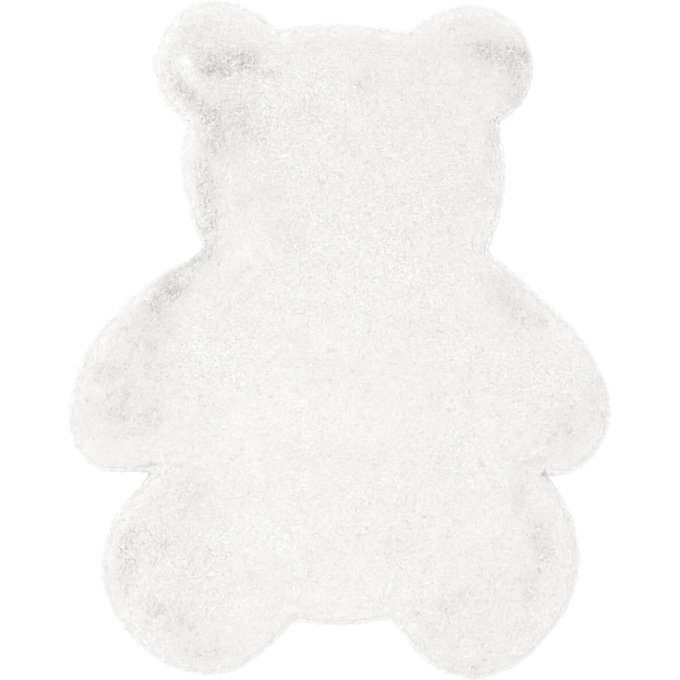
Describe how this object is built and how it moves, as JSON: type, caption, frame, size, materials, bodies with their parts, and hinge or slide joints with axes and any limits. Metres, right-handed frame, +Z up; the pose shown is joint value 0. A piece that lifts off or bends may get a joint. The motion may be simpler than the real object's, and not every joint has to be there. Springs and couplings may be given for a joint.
{
  "type": "bear shaped kids rug",
  "caption": "Soft white plush rug for a child's room, cut in a teddy bear outline with round ears, paws and feet, lying flat on the floor with its pile rolled over the edge.",
  "frame": {"origin": "on the floor, under the middle of the rug's bounding box", "axes": "+Y from the feet to the ears, +X to the right of somebody who looks down at the rug with the ears at the top, +Z up out of the pile"},
  "size_m": [0.8008, 1.0023, 0.021],
  "materials": {
    "white_plush": "short dense white polyester plush, matt, a little warm between the tufts"
  },
  "bodies": {
    "root": {"bear_plush": "white_plush"}
  },
  "joints": []
}
